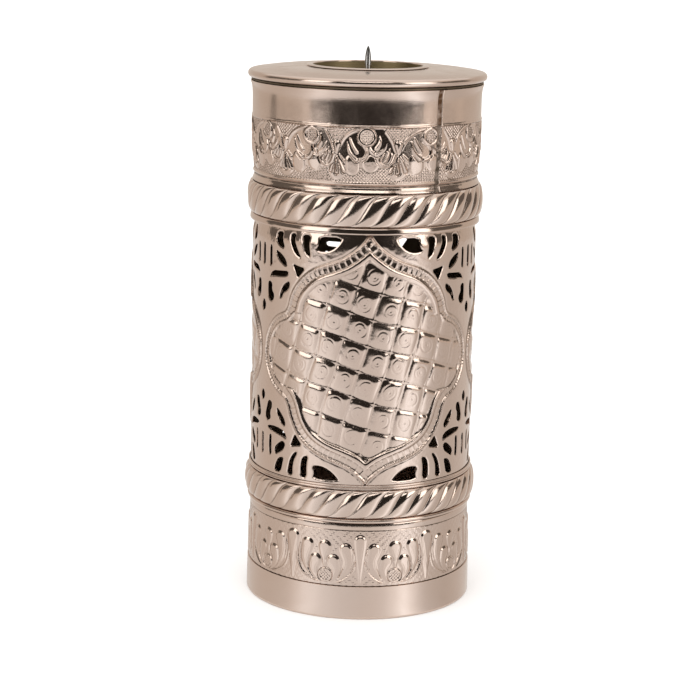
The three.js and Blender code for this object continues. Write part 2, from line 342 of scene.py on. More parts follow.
def rounded(points, closed=True, times=2):
    """Corner-cutting: a smooth outline from a few points."""
    points = np.array(points, float)
    for _ in range(times):
        following = np.roll(points, -1, 0)
        first, second = 0.75 * points + 0.25 * following, 0.25 * points + 0.75 * following
        cut = np.stack([first, second], 1).reshape(-1, 2)
        if not closed:
            cut = np.concatenate([points[:1], cut[:-2], points[-1:]])
        points = cut
    return points


def path_distance(x, y, path, closed=False):
    """For each place, the distance to a path and how far along the path its nearest point is."""
    start = path if closed else path[:-1]
    end = np.roll(path, -1, 0) if closed else path[1:]
    length = np.hypot(*(end - start).T)
    before = np.concatenate([[0], np.cumsum(length)[:-1]])
    best = np.full(x.shape, np.inf)
    along = np.zeros(x.shape)
    for (x0, y0), (x1, y1), size, travelled in zip(start, end, length, before):
        if size == 0:
            continue
        share = np.clip(((x - x0) * (x1 - x0) + (y - y0) * (y1 - y0)) / size**2, 0, 1)
        distance = np.hypot(x - x0 - share * (x1 - x0), y - y0 - share * (y1 - y0))
        nearer = distance < best
        best = np.where(nearer, distance, best)
        along = np.where(nearer, travelled + share * size, along)
    return best, along


def inside_outline(x, y, path):
    crossings = np.zeros(x.shape, bool)
    for (x0, y0), (x1, y1) in zip(path, np.roll(path, -1, 0)):
        if y0 == y1:
            continue
        straddles = (y0 > y) != (y1 > y)
        crossings ^= straddles & (x < x0 + (y - y0) * (x1 - x0) / (y1 - y0))
    return crossings


# -------------------- chased relief

def crest(distance, half, height):
    """A flat-topped ridge with rounded sides."""
    return height * np.clip(1 - np.abs(distance / half) ** 3, 0, 1) ** 0.5


def along_path(x, z, points):
    """The distance to the smoothed path through points, and the share of it already travelled."""
    path = rounded(points, closed=False)
    distance, along = path_distance(x, z, path)
    return distance, along / np.hypot(*np.diff(path, axis=0).T).sum()


def stroke(x, z, points, width, height, taper):
    """A ridge along a path; taper 1 draws both of its ends out to points."""
    distance, share = along_path(x, z, points)
    half = np.maximum(width / 2 * (1 - taper * np.abs(2 * share - 1) ** 2.5), 0.05)
    return crest(distance, half, height)


VEIN_INSET, VEIN_HALF = 1.6, 0.24


def lay_tongue(ground, x, z, points, widths, height, base, edge, vein=0.0):
    """Lays a soft flat-topped tongue over ground, rising from base; widths at its root and its
    tip. The vein is a line engraved inside its outline."""
    distance, share = along_path(x, z, points)
    margin = (widths[0] + (widths[1] - widths[0]) * share) / 2 - distance
    own = height * smoothstep(0, edge, margin) + base
    own = own - vein * bell(margin - VEIN_INSET, VEIN_HALF) * smoothstep(1.0, 0.85, share)
    return fade(ground, own, smoothstep(-0.4, 0.0, margin))


def hammered(x, z):
    """Shallow unevenness of hand-worked sheet, between -1 and 1."""
    broad = np.sin(0.9 * x + 1.7 * np.sin(0.61 * z)) * np.sin(0.8 * z + 1.3 * np.sin(0.73 * x + 2))
    fine = np.sin(2.1 * x + 1.9 * np.sin(1.3 * z + 1)) * np.sin(1.9 * z + 1.5 * np.sin(1.7 * x))
    return 0.7 * broad + 0.3 * fine


def hatching(x, z, pitch):
    """Two sets of engraved lines that cross, leaving small raised lozenges."""
    first = np.abs(np.sin(math.pi * (x + z) / pitch))
    second = np.abs(np.sin(math.pi * (x - z) / pitch))
    return smoothstep(0.1, 0.75, np.minimum(first, second))


HATCH_PITCH, HATCHED_R = 1.5, 2.6


def lay_button(ground, x, z, place, base, rise, hatch, ring, edge):
    """Lays a round button over ground: a hatched middle, and a ring given by its radius, width
    and height. The edge is where the button starts to fade in and where it covers all."""
    away = np.hypot(x - place[0], z - place[1])
    radius, width, height = ring
    boss = np.where(away > HATCHED_R, base, base + rise + hatch * hatching(x, z, HATCH_PITCH))
    boss = boss + crest(away - radius, width / 2, height)
    return fade(ground, boss, smoothstep(*edge, away))


def stippling(x, z):
    """An uneven pebbled ground."""
    first = np.sin(5.1 * x + 2.1 * np.sin(3.7 * z)) * np.sin(5.9 * z + 1.9 * np.sin(3.1 * x))
    return 0.5 + 0.5 * first


def hollow_dirt(height, reach):
    """Dirt where a place lies lower than its surroundings, reach in samples."""
    around = height
    for axis in (0, 1):
        shifts = range(-reach, reach + 1)
        around = sum(np.roll(around, k, axis) for k in shifts) / len(shifts)
    return smoothstep(0.05, 0.34, around - height)


# -------------------- the pattern of the drum

BODY_R, *Z_TUBE = node_reach("pierced_shell")
SHEET = 1.2
GAP = 0.3
FRONT_AZIMUTH = 3.0
FRONT_HALF = 63.5
REAR_HALF = (360 - 2 * FRONT_HALF) / 4
SECTORS = (
    (FRONT_AZIMUTH, FRONT_HALF),
    (FRONT_AZIMUTH + FRONT_HALF + REAR_HALF, REAR_HALF),
    (FRONT_AZIMUTH - FRONT_HALF - REAR_HALF, REAR_HALF),
)
FULL_HALF_WIDTH = BODY_R * math.radians(FRONT_HALF)

# Openings of one half sector, millimetres round from the medallion's middle, then height.
PAIRED_OPENINGS = (
    ((12.0, 174.2), (23.2, 174.2), (22.9, 171), (24.6, 168), (20.5, 167.3), (16.8, 168.3), (13.9, 171)),
    ((27.3, 174.4), (31.6, 174.3), (31, 170), (29.9, 166.3), (27.0, 164.2), (27.9, 170.7)),
    ((35.2, 174.4), (38.1, 174.2), (38.2, 171.6), (37.4, 168.8), (35.4, 165.2), (31.6, 163.3),
     (34.2, 168), (35.6, 171.4)),
    ((42.7, 174.4), (47.1, 174), (47.1, 170.5), (45.5, 168), (41.2, 166.8), (42.9, 171.3)),
    ((47.5, 166), (43.3, 164.4), (40.5, 161.9), (39.8, 158.8), (43.6, 160.4), (46.3, 162.9)),
    ((50.1, 167.5), (51.9, 167.5), (52, 162), (51.9, 158.3), (50, 158.3), (50.3, 163)),
    ((52, 153.2), (49.3, 156.3), (44.2, 156.7), (38.9, 157.2), (39.4, 154.9), (43.5, 154.2), (48.5, 153.9)),
    ((36.6, 160.9), (33.2, 160.0), (29.8, 159.4), (31.7, 157.0), (33.6, 154.4), (35.1, 157.7)),
    ((38.9, 152.8), (37.9, 151.4), (38.9, 149), (42, 147), (43, 144.5), (44.6, 144.4), (44.1, 147),
     (42.1, 150.6)),
    ((53.4, 150.3), (51.6, 151.2), (49.8, 149.8), (50.3, 147.3), (48.1, 144.9), (49.8, 141.5),
     (52.9, 143.3), (53.4, 146.2)),
    ((11.6, 64), (24.4, 64.2), (23.7, 67.3), (24.9, 70.2), (20.6, 70.7), (16.6, 69.2), (13.4, 66.6)),
    ((27.4, 64), (30.7, 64), (30.8, 69.5), (29.8, 73.6), (26.7, 74.6), (27.6, 70)),
    ((35, 63.9), (38.3, 64.4), (37.6, 68.3), (36.5, 71.9), (34.1, 75.2), (32.3, 75.2), (34.5, 71.2),
     (35.1, 67.8)),
    ((42.4, 64.1), (46.9, 64.1), (46.1, 67.5), (44, 70.8), (40.5, 71.6), (41.2, 68.5)),
    ((46, 71.8), (47.2, 74.4), (44.8, 77), (41.4, 79.2), (39.6, 77.8), (40.6, 75.1), (43.3, 73.4)),
    ((49.1, 80.4), (51, 80.4), (51.2, 76), (51, 71), (49, 71), (49.4, 76)),
    ((52.8, 84.3), (45.6, 85), (40, 83.5), (38.6, 79.8), (41.5, 81), (45.6, 81.9), (51, 82.7)),
    ((36.7, 77.4), (33.4, 78.0), (30.1, 78.7), (32.1, 81.1), (34.1, 83.6), (35.4, 80.5)),
    ((45.6, 94.1), (43, 92.3), (39.8, 88.4), (39.9, 85.6), (43, 87.6), (45.2, 90.6)),
    ((52.1, 96.1), (49.4, 96), (49.1, 93.1), (50.6, 90.9), (50, 87.4), (52.8, 86.4), (54.7, 88.6),
     (53.4, 92.6)),
)
CENTRE_OPENINGS = (
    ((-0.9, 158), (0.9, 158), (1.1, 163), (0.9, 167.8), (-0.9, 167.8), (-1.1, 163)),
    ((0, 136.2), (2.1, 139.4), (0, 142.7), (-2.1, 139.4)),
    ((-0.9, 70.4), (0.9, 70.4), (1.1, 75), (0.9, 80.2), (-0.9, 80.2), (-1.1, 75)),
    ((0, 94.7), (2.1, 97.8), (0, 100.9), (-2.1, 97.8)),
)


def medallion_outline():
    """The lobed outline: an onion tip above and below and a round lobe on each side."""
    top = [(0, 176.2), (3.2, 171.8), (7.5, 168), (12.5, 164.7), (17.5, 162.8), (22.8, 161),
           (28, 158.2), (33.6, 152.9), (37.2, 147), (38.6, 141.2)]
    lobe_centre, lobe_r = (34.8, 119.0), 20.3
    turns = np.radians(np.linspace(74, -74, 15))
    lobe = [
        (lobe_centre[0] + lobe_r * math.cos(t), lobe_centre[1] + lobe_r * math.sin(t))
        for t in turns
    ]
    bottom = [(38.2, 96.2), (36.4, 90), (32.2, 82.8), (26.5, 77.8), (19.5, 74.4), (12.5, 72.1),
              (7, 69.7), (3, 66.4), (0, 63.0)]
    half = rounded(top + lobe + bottom, closed=False, times=2)
    other = half[::-1][1:-1] * (-1, 1)
    return np.concatenate([half, other])


QUILT_NODE = (-3.7, 114.8)
QUILT_ACROSS = (10.6, -2.9)
QUILT_UP = (3.2, 11.67)
CELL_FLOOR, CELL_RISE = -0.7, 0.72
WIRE_RISE, WIRE_HALF = 0.32, 0.5
CURL_R, CURL_DEPTH, INNER_R, INNER_DEPTH, DOT_DEPTH = 3.1, 0.15, 1.2, 0.08, 0.18


def quilt(x, z):
    """Puffed cells in a slanted grid, with a thin wire between them and an engraved curl and a
    dot on each."""
    determinant = QUILT_ACROSS[0] * QUILT_UP[1] - QUILT_ACROSS[1] * QUILT_UP[0]
    dx = x - QUILT_NODE[0] + 0.4 * np.sin(z / 7.0) + 0.25 * np.sin(x / 4.1 + z / 5.3)
    dz = z - QUILT_NODE[1] + 0.4 * np.sin(x / 6.1 + 1.0)
    a = (dx * QUILT_UP[1] - dz * QUILT_UP[0]) / determinant
    b = (dz * QUILT_ACROSS[0] - dx * QUILT_ACROSS[1]) / determinant
    cell_a, cell_b = np.floor(a), np.floor(b)
    fa, fb = a - cell_a - 0.5, b - cell_b - 0.5
    across = np.hypot(*QUILT_ACROSS)
    up = np.hypot(*QUILT_UP)
    seed = np.sin(cell_a * 12.9898 + cell_b * 78.233) * 43758.5453
    seed = seed - np.floor(seed)
    steepness = 4.5 + 2.5 * smoothstep(105, 85, z)
    puff = (1 - np.abs(2 * fa) ** 5) * (1 - np.abs(2 * fb) ** steepness)
    tilt = (0.5 * seed + 0.12) * fb + 0.16 * (np.mod(7.3 * seed, 1) - 0.5) * fa
    height = CELL_FLOOR + puff * (CELL_RISE + tilt)
    from_line = np.minimum((0.5 - np.abs(fa)) * across, (0.5 - np.abs(fb)) * up)
    height = np.maximum(height, CELL_FLOOR + WIRE_RISE * dome(from_line, WIRE_HALF))

    px = fa * across + (seed - 0.5) * 1.1
    pz = fb * up + 0.5 * np.sin(seed * 40)
    radius = np.hypot(px, 0.92 * pz)
    angle = np.mod(np.arctan2(pz, px) + 2.2 * math.pi * seed, 2 * math.pi)
    curl_r = CURL_R + 0.5 * seed - 0.17 * angle
    reach = smoothstep(0.1, 1.0, angle) * (1 - 0.8 * smoothstep(3.6 + seed, 5.2 + seed, angle))
    curl = bell(radius - curl_r, 0.22) * reach
    inner = bell(radius - INNER_R, 0.2) * smoothstep(2.4, 4.0, angle)
    return height - CURL_DEPTH * curl - INNER_DEPTH * inner - DOT_DEPTH * bell(radius, 0.34)


def sector_openings(joints):
    """The rounded outlines of one sector's openings, with those on its joints: -1 and 1."""
    outlines = [np.array(o) * (side, 1) for o in PAIRED_OPENINGS for side in (-1, 1)]
    outlines += [np.array(o) + (side * FULL_HALF_WIDTH, 0) for o in CENTRE_OPENINGS for side in joints]
    return [rounded(outline, times=1) for outline in outlines]


LIP_REACH, LIP_DEPTH = 1.2, 0.24


def opening_lips(x, z):
    """How the metal rounds over beside each opening of one full sector."""
    sink = np.zeros(x.shape)
    for path in sector_openings((-1, 1)):
        low, high = path.min(0) - LIP_REACH, path.max(0) + LIP_REACH
        window = np.where((x > low[0]) & (x < high[0]) & (z > low[1]) & (z < high[1]))
        if not len(window[0]):
            continue
        distance, _ = path_distance(x[window], z[window], path, closed=True)
        distance[inside_outline(x[window], z[window], path)] = 0
        edge = 1.6 * bell(distance, 0.3) - 0.6 * bell(distance, 0.7)
        sink[window] = np.maximum(sink[window], edge)
    return -LIP_DEPTH * sink


BORDER, LOBE_BORDER = 7.4, 4.2
BAR_PITCH, LOBE_TICK_PITCH = 2.7, 1.5
LOBE_MIDDLE, LOBE_HALF, LOBE_START = 121.5, 17.5, 30.5
BAR_HEIGHT, BAR_HALF = 0.5, 0.36
OUTER_WIRE, WIDE_BAND, THIN_WIRE, MOAT = 0.55, 0.7, 0.35, 0.14
UNEVENNESS = 0.035
TOP_SINK = 0.9


def drum_relief(x, z):
    """Height over one full sector."""
    outline = medallion_outline()
    distance, along = path_distance(x, z, outline, closed=True)
    within = inside_outline(x, z, outline)
    depth = np.where(within, distance, -distance)

    in_lobe = smoothstep(LOBE_START, LOBE_START + 1, np.abs(x))
    in_lobe = in_lobe * smoothstep(LOBE_HALF + 0.5, LOBE_HALF - 0.5, np.abs(z - LOBE_MIDDLE))
    outer_wire = OUTER_WIRE * dome(depth - 0.6, 0.5)
    wide_band = WIDE_BAND * dome(depth - 5.7, 1.4)
    thin_wire = THIN_WIRE * dome(depth - 3.8, 0.45)
    band = fade(wide_band, thin_wire, in_lobe)
    strength = 0.28 + 0.47 * smoothstep(157, 168, z) + 0.12 * in_lobe
    channel_end = 4.3 - 1.1 * in_lobe
    channel = smoothstep(0.8, 1.2, depth) * smoothstep(channel_end + 0.4, channel_end, depth)
    pitch = np.where(in_lobe > 0.5, LOBE_TICK_PITCH, BAR_PITCH)
    across_bar = np.abs((along / pitch) % 1 - 0.5) * pitch
    bars = BAR_HEIGHT * dome(across_bar, BAR_HALF)
    height = np.maximum(outer_wire, band) + channel * strength * (bars - 0.4)

    border = BORDER + (LOBE_BORDER - BORDER) * in_lobe
    quilted = smoothstep(border - 0.2, border + 0.5, depth)
    height = fade(height, quilt(x, z), quilted)
    height = height - MOAT * bell(depth + 0.5, 0.5)
    height = height + opening_lips(x, z)
    near_seam = smoothstep(FULL_HALF_WIDTH - 3, FULL_HALF_WIDTH, np.abs(x))
    height = height + UNEVENNESS * hammered(x, z) * (1 - near_seam) * (1 - 0.5 * quilted)
    return height - TOP_SINK * smoothstep(168, 176, z) ** 2 * (1 - smoothstep(1, 6, depth))


def sampled(pattern, low, high, step, reach):
    """pattern evaluated on a fine grid, as a function that reads its height and the dirt in its
    hollows by interpolation."""
    xs = np.arange(low[0], high[0] + step, step)
    zs = np.arange(low[1], high[1] + step, step)
    grid_x, grid_z = np.meshgrid(xs, zs, indexing="ij")
    surface = pattern(grid_x, grid_z)
    layers = (surface, hollow_dirt(surface, reach))

    def read(x, z):
        fx = np.clip((x - low[0]) / step, 0, len(xs) - 1.001)
        fz = np.clip((z - low[1]) / step, 0, len(zs) - 1.001)
        ix, iz = fx.astype(int), fz.astype(int)
        tx, tz = fx - ix, fz - iz
        return [
            layer[ix, iz] * (1 - tx) * (1 - tz)
            + layer[ix + 1, iz] * tx * (1 - tz)
            + layer[ix, iz + 1] * (1 - tx) * tz
            + layer[ix + 1, iz + 1] * tx * tz
            for layer in layers
        ]

    return read


def sector_place(degrees):
    """For each azimuth: which sector it is in and the place across it, scaled to full width."""
    across = np.zeros(degrees.shape)
    for centre, half in SECTORS:
        offset = (degrees - centre + 180) % 360 - 180
        here = np.abs(offset) <= half + 1e-6
        across = np.where(here, offset / half * FULL_HALF_WIDTH, across)
    return across


Z_FIELD = (62.4, 176.6)
SHELL_COLUMNS, SHELL_ROWS, SHELL_STEP = 960, 300, 0.25
QUICK_COARSE = 1


def make_pierced_shell():
    columns = SHELL_COLUMNS // QUICK_COARSE
    field = np.linspace(*Z_FIELD, SHELL_ROWS // QUICK_COARSE)
    outer_z = np.concatenate([[Z_TUBE[0], 50, 56], field, [182, 188, Z_TUBE[1]]])
    inner_z = np.linspace(Z_TUBE[1], Z_TUBE[0], 12)
    angle = azimuths(columns)
    across = sector_place(np.degrees(angle))
    low, high = (-FULL_HALF_WIDTH, Z_FIELD[0]), (FULL_HALF_WIDTH, Z_FIELD[1])
    read = sampled(drum_relief, low, high, SHELL_STEP, 4)
    grid_x, grid_z = np.broadcast_arrays(across, outer_z[:, None])
    height, dirt = read(grid_x, grid_z)
    in_field = smoothstep(Z_FIELD[0], Z_FIELD[0] + 0.5, grid_z)
    in_field = in_field * (1 - smoothstep(Z_FIELD[1] - 0.4, Z_FIELD[1], grid_z))
    outer = BODY_R + height * in_field
    inner = np.full((len(inner_z), columns), BODY_R - SHEET)
    radii = np.concatenate([outer, inner])
    heights = np.concatenate([grid_z, np.repeat(inner_z[:, None], columns, 1)])
    cavity = np.concatenate([dirt * in_field, np.zeros(inner.shape)])
    shell = ring_mesh("pierced_drum", radii, heights, cavity)
    cut_openings(shell)
    mark_inside(shell)
    finish_piece(shell, [RELIEF, INSIDE], "lamp_body", "pierced_shell")


CUTTER_REACH = 4


def opening_cutter():
    """One mesh of radial prisms, one for each opening."""
    points, faces = [], []
    for centre, half in SECTORS:
        for path in sector_openings((1,)):
            degrees = centre + path[:, 0] * half / FULL_HALF_WIDTH
            angle = np.radians(degrees)
            turned_area = np.sum(angle * np.roll(path[:, 1], -1) - np.roll(angle, -1) * path[:, 1])
            if turned_area < 0:
                angle, path = angle[::-1], path[::-1]
            count, start = len(path), len(points)
            for radius in (BODY_R - CUTTER_REACH, BODY_R + CUTTER_REACH):
                points += [
                    (radius * math.sin(a) * MM, -radius * math.cos(a) * MM, z * MM)
                    for a, z in zip(angle, path[:, 1])
                ]
            faces.append([start + count + k for k in range(count)])
            faces.append([start + k for k in reversed(range(count))])
            for k in range(count):
                n = (k + 1) % count
                faces.append([start + k, start + n, start + count + n, start + count + k])
    mesh = bpy.data.meshes.new("opening_cutter")
    mesh.from_pydata(points, [], faces)
    mesh.update()
    return add_object("opening_cutter", mesh)


def apply_modifiers(piece):
    bpy.context.view_layer.update()
    graph = bpy.context.evaluated_depsgraph_get()
    mesh = bpy.data.meshes.new_from_object(piece.evaluated_get(graph), depsgraph=graph)
    mesh.materials.clear()
    old = piece.data
    piece.modifiers.clear()
    piece.data = mesh
    bpy.data.meshes.remove(old)


def cut_openings(shell):
    cutter = opening_cutter()
    cut = shell.modifiers.new("openings", "BOOLEAN")
    cut.object = cutter
    cut.operation = "DIFFERENCE"
    cut.solver = "MANIFOLD"
    apply_modifiers(shell)
    blades = cutter.data
    bpy.data.objects.remove(cutter)
    bpy.data.meshes.remove(blades)


def face_centres(piece):
    """The middles of a piece's faces, in millimetres."""
    centres = np.zeros(len(piece.data.polygons) * 3, np.float32)
    piece.data.polygons.foreach_get("center", centres)
    return centres.reshape(-1, 3) / MM


def mark_inside(shell):
    """The second material on the faces of the inner wall."""
    centres = face_centres(shell)
    inner = np.hypot(centres[:, 0], centres[:, 1]) < BODY_R - SHEET + 0.15
    shell.data.polygons.foreach_set("material_index", inner.astype(np.int32))


make_pierced_shell()


# -------------------- the rings

ROPE_ROWS, STRAND_COLUMNS, STRAND_LEAN = 44, 24, 1.6
LOWER_STRANDS, UPPER_STRANDS = 40, 38


def make_rope(name, node, strands):
    """A moulding of slanted strands; each crosses the ring in a flat S."""
    outer, bottom, top = node_reach(node)
    columns, rows = strands * (STRAND_COLUMNS // QUICK_COARSE), ROPE_ROWS // QUICK_COARSE
    seat = BODY_R + GAP
    swing = np.linspace(-math.pi / 2, math.pi / 2, rows)[:, None]
    turn = azimuths(columns) * strands / (2 * math.pi)
    level = np.sin(swing)
    phase = turn - STRAND_LEAN * (0.3 * level + 0.2 * level**5)
    across = phase - np.floor(phase) - 0.5
    strand = np.clip(1 - np.abs(2.02 * across) ** 2, 0, 1) ** 0.75
    crown = np.cos(swing)
    groove = 0.46 + 0.1 * level
    radii = seat + (outer - seat) * crown**0.75 * (1 - groove + groove * strand)
    middle, half = (bottom + top) / 2, (top - bottom) / 2
    dirt = 0.6 * smoothstep(0.42, 0.5, np.abs(across))
    ring = ring_mesh(name, radii, middle + half * level, dirt)
    finish_piece(ring, RELIEF, "lamp_body", node, ROPE_SHARP)


make_rope("lower_rope", "lower_rope_ring", LOWER_STRANDS)
make_rope("upper_rope", "upper_rope_ring", UPPER_STRANDS)


def arc(centre_r, centre_z, radius, start, end, steps):
    turns = np.radians(np.linspace(start, end, steps))
    return [(centre_r + radius * math.cos(t), centre_z + radius * math.sin(t)) for t in turns]


FINE_COLUMNS = 384


def make_wire(name, node, outline):
    """A polished ring on the drum; outline holds places out from its seat and up from its bottom."""
    _, bottom, top = node_reach(node)
    seat = BODY_R + GAP
    section = [(seat, bottom), *((seat + out, bottom + up) for out, up in outline), (seat, top)]
    ring = turned_ring(name, section, FINE_COLUMNS)
    finish_piece(ring, POLISHED, "lamp_body", node)


LEANING_FACE = [(0.6, 0), (0.92, 0.15), (1.0, 0.45), (0.94, 1.05), (0.86, 1.65), (0.76, 2.25),
                (0.6, 2.65), (0.3, 2.95)]
ROUND_FACE = arc(0, 1.05, 1.0, -60, 60, 11)
TWO_WIRES = arc(0.1, 0.6, 0.55, -70, 70, 9) + arc(0.1, 1.7, 0.5, -70, 70, 9)
make_wire("upper_collar_wire", "upper_collar", LEANING_FACE)
make_wire("lower_collar_wire", "lower_collar", ROUND_FACE)
make_wire("lower_trim_wires", "lower_trim_ring", TWO_WIRES)


# -------------------- foot and embossed bands

def make_foot():
    radius, _, top = node_reach("foot_ring")
    curl, hem = 0.6, 46.5
    profile = [(hem, 0), (radius - curl, 0)]
    profile += arc(radius - curl, curl, curl, -80, 0, 6)
    profile += [(52.55, 6), (52.42, 12), (52.32, 14.9), (52.3, 15.2), (52.1, top)]
    profile += [(51.0, top), (51.2, 12), (51.4, 1.7), (51.2, 1.25), (hem + 0.1, 1.2)]
    ring = turned_ring("foot", profile, FINE_COLUMNS)
    finish_piece(ring, PLATED, "lamp_body", "foot_ring")


make_foot()


UPPER_SPAN = (-12.4, 14.9)
UPPER_BUTTONS = (-0.7, 32.1, 62, 92, 121.5, 151, 181, 211, 241, 271, 301.5, 331.9)
UPPER_GROUND, LOWER_GROUND = -0.3, -0.22

# What lies under the arch, back to front: points, widths at the two ends, height, edge.
UPPER_TONGUES = (
    (((-5.2, 208.2), (-5.2, 204.9)), (6.4, 6.4), 0.4, 1.1),
    (((2.8, 207.3), (2.8, 207.0)), (7.8, 7.8), 0.4, 1.1),
    (((9.6, 209.7), (9.6, 209.3)), (6.6, 6.6), 0.25, 0.8),
    (((5.6, 210.4), (6.3, 207.7), (8.3, 206.2), (10.6, 206.0), (12.4, 207.6), (13.5, 210.8)),
     (1.9, 1.9), 0.6, 0.95),
    (((10.9, 213.6), (10.6, 210.8), (9.2, 208.3)), (0.8, 1.9), 0.75, 0.9),
    (((8.7, 212.0), (8.2, 210.2), (7.2, 208.8)), (0.8, 1.6), 0.75, 0.8),
    (((2.1, 215.4), (2.6, 212.6), (4.8, 211.3)), (0.8, 2.7), 0.6, 1.2),
    (((9.6, 216.0), (8.4, 212.8), (5.4, 211.3)), (0.8, 2.7), 0.6, 1.2),
    (((6.2, 219.2), (6.9, 216.6), (5.3, 213.9)), (1.0, 2.4), 0.6, 1.1),
    (((-2.4, 216.6), (-0.4, 215.2), (0.9, 213.4), (1.1, 211.2), (0.0, 209.3), (-1.8, 208.5),
      (-3.9, 209.1)), (1.5, 2.1), 0.6, 0.9),
    (((-7.4, 216.3), (-6.9, 213), (-5.6, 210.6), (-3.8, 208.9)), (0.9, 2.3), 0.6, 0.95),
    (((-6.3, 217.8), (-5.0, 214.6), (-3.3, 211.9)), (1.1, 1.6), 0.6, 0.75),
    (((-12.4, 211.8), (-11.2, 214), (-10.2, 216.4), (-8.4, 218.9), (-5.8, 220.8), (-3, 221.8),
      (0.2, 222.1), (2.6, 221.4)), (1.8, 1.8), 0.6, 0.85),
    (((9.2, 220.8), (11.2, 218.2), (12.7, 215.6), (13.5, 213.2), (14.9, 211.2)), (1.3, 1.9), 0.6, 0.85),
)
STEM_SCALE = (((0, 204.6), (0, 204.2)), (9.4, 9.4), 0.4, 1.1)
STEM_FAN = (
    (((1.6, 211), (3.5, 208.4), (5.4, 206.1)), (0.8, 2.0), 0.75, 0.9),
    (((0.6, 210), (2.1, 206.8), (3.3, 203.6)), (0.8, 2.0), 0.75, 0.9),
    (((0, 209.5), (0, 206), (0, 203.0)), (0.8, 2.1), 0.75, 0.9),
)
STEM = (((0, 215.4), (0, 211.8)), (4.0, 1.6), 0.6, 1.4)
ARCH_INSIDE = (
    (-12.4, 211), (-10.6, 213.5), (-10.0, 216.5), (-8.4, 219), (-6, 220.8), (-3, 222), (1, 222.6),
    (8, 222.6), (9.6, 220.2), (11.2, 218), (12.8, 215.6), (13.5, 213), (14.9, 210.5), (14.9, 205),
    (-12.4, 205),
)


def upper_motif(x, z):
    """One arch of the upper band: a hatched button over a drop, a crescent and a bowl, scales
    below, and half of the stem and of its fan of leaves on each side."""
    base = UPPER_GROUND
    smooth = inside_outline(x, z, np.array(ARCH_INSIDE))
    height = np.where(smooth, base, base - 0.05 + 0.3 * hatching(x, z, HATCH_PITCH))
    for middle, side in ((UPPER_SPAN[0], 1), (UPPER_SPAN[1], -1)):
        for points, widths, rise, edge in (STEM_SCALE, *STEM_FAN):
            path = [(middle + side * u, level) for u, level in points]
            height = lay_tongue(height, x, z, path, widths, rise, base, edge)
    for points, widths, rise, edge in UPPER_TONGUES:
        height = lay_tongue(height, x, z, points, widths, rise, base, edge)
    points, widths, rise, edge = STEM
    for middle in UPPER_SPAN:
        path = [(middle + u, level) for u, level in points]
        height = lay_tongue(height, x, z, path, widths, rise, base, edge)
    height = lay_button(height, x, z, (0.9, 218.6), base, 0.1, 0.28, (3.35, 1.6, 0.65), (4.4, 4.0))
    inside = smoothstep(198.6, 199.3, z) * smoothstep(222.9, 222.5, z)
    return height * inside + 0.02 * hammered(x, z)


LOWER_HALF_MOTIF = 16.25
LOWER_MIRROR_AZIMUTH = 1.3
LOWER_MIRROR_STEP = 36


# Tongues of one lyre, back to front: points from root to tip, widths at the two ends.
LYRE_TONGUES = (
    (((-16.25, 17), (-16.25, 28), (-16.25, 36.5)), (1.6, 6.4)),
    (((16.25, 17), (16.25, 28), (16.25, 36.0)), (1.6, 7.6)),
    (((5.5, 19), (10.2, 26), (8.45, 33.6)), (2.6, 6.8)),
    (((-7.0, 19), (-11.4, 26), (-9.75, 32.4)), (2.6, 6.6)),
    (((0, 24), (0.2, 29), (0, 33.2)), (2.0, 7.0)),
    (((-2.6, 17.5), (-5.8, 22.5), (-4.05, 27.0)), (2.6, 6.6)),
    (((2.4, 17.5), (5.8, 22.5), (4.4, 26.8)), (2.6, 6.6)),
)
LYRE_LINES = (
    ((13.9, 37.0), (14.2, 31), (13.6, 25.5), (11.8, 21.2), (8.8, 18.8), (4.8, 17.3), (1.5, 17.1)),
    ((-14.2, 27), (-13.6, 23.6), (-11.9, 20.6), (-9.0, 18.2), (-6, 17.0)),
    ((12.2, 33.4), (12.8, 28.6), (11.6, 24.2)),
    ((-13.0, 32.6), (-13.5, 28.0), (-11.6, 23.4)),
)


def lower_motif(x, z):
    """One lyre of the lower band, between the middles of two neighbouring leaves."""
    base = LOWER_GROUND
    height = base - 0.08 + 0.2 * stippling(x, z)
    for points, widths in LYRE_TONGUES:
        height = lay_tongue(height, x, z, points, widths, 0.62, base, 1.7, 0.14)
    for points in LYRE_LINES:
        line = stroke(x, z, points, 0.9, 0.34, 0.6)
        height = np.maximum(height, np.where(line > 0, line + base + 0.04, -1))
    height = lay_button(height, x, z, (-0.3, 20.3), base, 0.2, 0.2, (2.9, 0.9, 0.4), (3.7, 3.4))
    return height * smoothstep(41.3, 40.9, z) + 0.015 * hammered(x, z)


def upper_place(degrees):
    """How far each azimuth is across its own motif, scaled to a full motif."""
    centres = np.array(UPPER_BUTTONS)
    following = np.append(centres[1:], centres[0] + 360)
    across = np.zeros(degrees.shape)
    for centre, after in zip(centres, following):
        half = (after - centre) / 2
        offset = (degrees - centre) % 360
        here = offset < half
        across = np.where(here, offset / half * UPPER_SPAN[1], across)
        here = (offset >= half) & (offset < 2 * half)
        across = np.where(here, (2 - offset / half) * UPPER_SPAN[0], across)
    return across


def lower_place(degrees):
    """The same for the lower band, where every other motif is mirrored."""
    turn = (degrees - LOWER_MIRROR_AZIMUTH) % (2 * LOWER_MIRROR_STEP)
    turn = np.where(turn > LOWER_MIRROR_STEP, 2 * LOWER_MIRROR_STEP - turn, turn)
    return (2 * turn / LOWER_MIRROR_STEP - 1) * LOWER_HALF_MOTIF


SEAM_AZIMUTH = 37.6
SOLDER_HALF, SOLDER_SINK = 1.2, 0.14
LAP_OFFSET, LAP_HEIGHT = 1.75, 0.13
BAND_COLUMNS = 1500 // QUICK_COARSE
BAND_ROW, BAND_STEP = 0.21, 0.17
LOWER_LINE_Z = 41.5
UPPER_LINE_Z, LOW_BEAD_Z, HIGH_BEAD_Z = 196.8, 198.0, 223.0
PLAIN_FROM = 223.6


